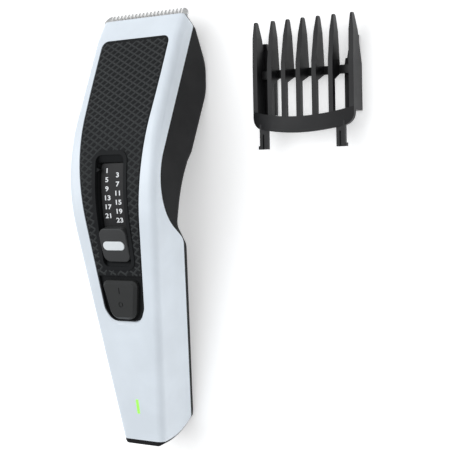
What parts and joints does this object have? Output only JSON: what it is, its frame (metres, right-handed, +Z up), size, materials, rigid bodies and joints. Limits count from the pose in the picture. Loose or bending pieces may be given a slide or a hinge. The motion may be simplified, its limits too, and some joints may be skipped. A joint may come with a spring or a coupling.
{
  "type": "hair clipper",
  "caption": "Cordless hair clipper with a bent two-tone body, textured front panel, curved sliding length setting, power switch, removable cutting unit and a loose comb beside it.",
  "frame": {"origin": "middle of the flat land at the back of the head, on which the clipper lies", "axes": "+Z up out of the front face, +Y along the clipper towards the blade, +X to the clipper's right seen from the front"},
  "size_m": [0.1125, 0.182, 0.0439],
  "materials": {
    "white_shell": "satin",
    "dark_shell": "satin",
    "dark_panel": "fine diamond texture",
    "dark_slot": "smooth",
    "dark_switch": "smooth",
    "white_pill": "gloss",
    "scale_plate": "matte, printed white numbers",
    "black_comb": "matte",
    "carriage_plastic": "matte",
    "blade_steel": "ground",
    "spring_steel": "bright",
    "screw_steel": "zinc plated",
    "holder_plastic": "matte",
    "bridge_plastic": "natural",
    "motor_can": "plated",
    "shaft_steel": "ground",
    "board_laminate": "green laminate",
    "switch_body": "smooth",
    "light_lens": "clear, yellow-green",
    "light_chip": "smooth",
    "cell_wrap": "shrink wrap",
    "nickel_tab": "bright nickel",
    "socket_plastic": "smooth",
    "contact_pin": "plated"
  },
  "bodies": {
    "housing": {"front_frame": "white_shell", "front_panel": "dark_panel", "slot_tray": "dark_slot", "rear_housing": "dark_shell", "light_guide": "light_lens", "indicator_chip": "light_chip", "circuit_board": "board_laminate", "board_screws": "screw_steel", "slide_switch": "switch_body", "battery_cell": "cell_wrap", "battery_tabs": "nickel_tab", "charging_socket": "socket_plastic", "socket_pins": "contact_pin", "motor": "motor_can", "motor_bracket": "carriage_plastic", "motor_screws": "screw_steel"},
    "length_setting": {"length_slider": "dark_slot", "slider_pill": "white_pill", "scale_plate": "scale_plate", "comb_carriage": "carriage_plastic", "detent_spring": "spring_steel"},
    "power_button": {"power_switch": "dark_switch"},
    "drive": {"motor_shaft": "shaft_steel", "eccentric": "bridge_plastic"},
    "cutting_unit": {"cutter_holder": "holder_plastic", "guard_blade": "blade_steel", "blade_spring": "spring_steel"},
    "cutter": {"cutter_blade": "blade_steel", "drive_bridge": "bridge_plastic"},
    "comb": {"comb": "black_comb"}
  },
  "joints": [
    {"name": "length_slide", "type": "hinge", "parent": "housing", "child": "length_setting", "pos_m": [0, -0.04565, -0.02845], "axis": [-1, 0, 0], "range_deg": [0, 16.15]},
    {"name": "power_slide", "type": "slide", "parent": "housing", "child": "power_button", "axis": [0, 0.9821, 0.1885], "range_m": [0, 0.0015]},
    {"name": "motor_spin", "type": "hinge", "parent": "housing", "child": "drive", "pos_m": [0, 0.0164, 0.0139], "axis": [0, 0.9397, -0.342], "continuous": true},
    {"name": "cutting_unit_release", "type": "slide", "parent": "housing", "child": "cutting_unit", "axis": [0, 0.8366, -0.5478], "range_m": [0, 0.01]},
    {"name": "cutter_stroke", "type": "slide", "parent": "cutting_unit", "child": "cutter", "axis": [1, 0, 0], "range_m": [-0.0012, 0.0012]},
    {"name": "comb_lift", "type": "slide", "parent": "housing", "child": "comb", "axis": [0, 0, 1], "range_m": [0, 0.06]}
  ]
}
